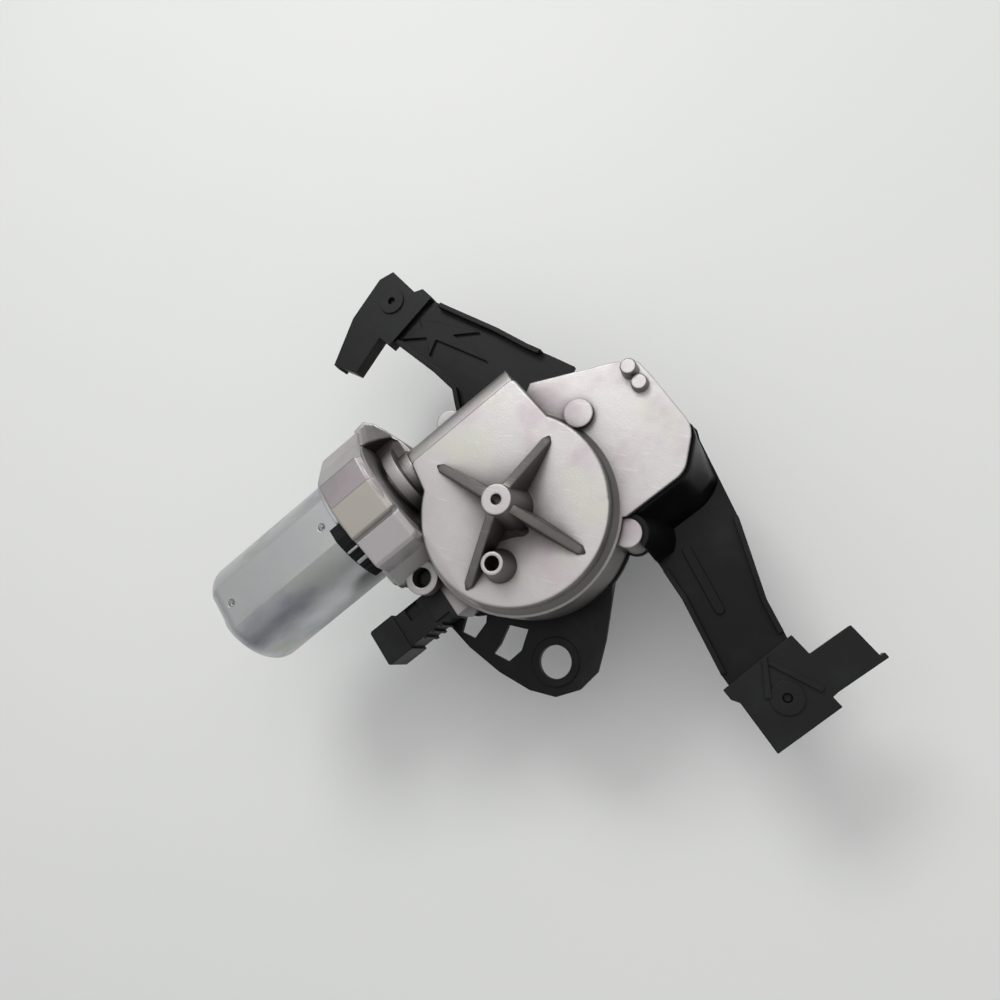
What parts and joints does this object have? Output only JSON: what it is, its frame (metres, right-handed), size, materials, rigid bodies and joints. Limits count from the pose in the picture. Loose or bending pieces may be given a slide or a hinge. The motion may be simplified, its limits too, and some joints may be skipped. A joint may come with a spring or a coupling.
{
  "type": "wiper motor",
  "caption": "Wiper motor with drawn can, ribbed cast gear housing, worm gear and crank linkage, output spindle, and a black carrier bracket with arms and ear.",
  "frame": {"origin": "on the output spindle's axis, at its exposed journal below the sleeve", "axes": "X along the motor's axis from the can to the gear housing, Y along the bracket's arms, Z along the output spindle towards the ribbed face"},
  "size_m": [0.2, 0.2594, 0.1035],
  "materials": {
    "cast_aluminium": "as-cast satin",
    "plated_steel": "zinc plated, drawn",
    "steel": "ground",
    "spring_steel": "blackened",
    "core_steel": "varnished laminations",
    "black_paint": "black coating",
    "black_plastic": "fine grain",
    "natural_nylon": "moulded",
    "seal_rubber": "matte",
    "brass": "stamped",
    "bronze": "sintered",
    "copper": "turned",
    "enamelled_copper": "enamelled wire",
    "carbon": "pressed carbon",
    "ferrite": "sintered ferrite"
  },
  "bodies": {
    "housing": {"gear_housing": "cast_aluminium", "motor_can": "plated_steel", "brush_ring": "black_plastic", "can_screw_a": "steel", "can_screw_b": "steel", "support_bracket": "black_paint", "left_end_clip": "black_plastic", "right_end_clip": "black_plastic", "cover_screw_1": "steel", "cover_screw_2": "steel", "cover_screw_3": "steel", "spindle_sleeve": "steel", "spindle_seal": "seal_rubber", "connector_housing": "black_plastic", "terminal_1": "brass", "terminal_2": "brass", "terminal_3": "brass", "tall_rivet": "cast_aluminium", "short_rivet": "cast_aluminium", "carbon_brush_a": "carbon", "carbon_brush_b": "carbon", "magnet_a": "ferrite", "magnet_b": "ferrite", "rear_bearing": "bronze", "front_bearing": "bronze", "worm_end_bearing": "bronze", "thrust_pad": "natural_nylon", "wheel_axle": "steel", "axle_ring": "spring_steel", "contact_plate": "brass", "upper_bush": "bronze", "lower_bush": "bronze"},
    "armature": {"armature_shaft": "steel", "lamination_stack": "core_steel", "front_winding": "enamelled_copper", "rear_winding": "enamelled_copper", "commutator": "copper"},
    "wheel": {"worm_wheel": "natural_nylon", "wheel_hub": "bronze", "crank_disc": "steel"},
    "output": {"output_spindle": "steel", "output_lever": "steel", "spindle_ring": "spring_steel"},
    "link": {"connecting_rod": "steel", "lever_pin": "steel", "crank_pin": "steel"}
  },
  "joints": [
    {"name": "armature_spin", "type": "hinge", "parent": "housing", "child": "armature", "pos_m": [-0.048, 0.044, 0.047], "axis": [1, 0, 0], "continuous": true},
    {"name": "wheel_spin", "type": "hinge", "parent": "housing", "child": "wheel", "pos_m": [-0.048, 0.004, 0.047], "axis": [0, 0, 1], "continuous": true},
    {"name": "output_swing", "type": "hinge", "parent": "housing", "child": "output", "pos_m": [0, 0, 0.02], "axis": [0, 0, 1], "range_deg": [-38, 46]},
    {"name": "rod_turn", "type": "hinge", "parent": "output", "child": "link", "pos_m": [0, 0.018, 0.037], "axis": [0, 0, 1], "range_deg": [-46, 38]}
  ],
  "couplings": [
    {"joint": "wheel_spin", "follows": "armature_spin", "ratio": 0.02},
    {"joint": "rod_turn", "follows": "output_swing", "ratio": -1}
  ]
}
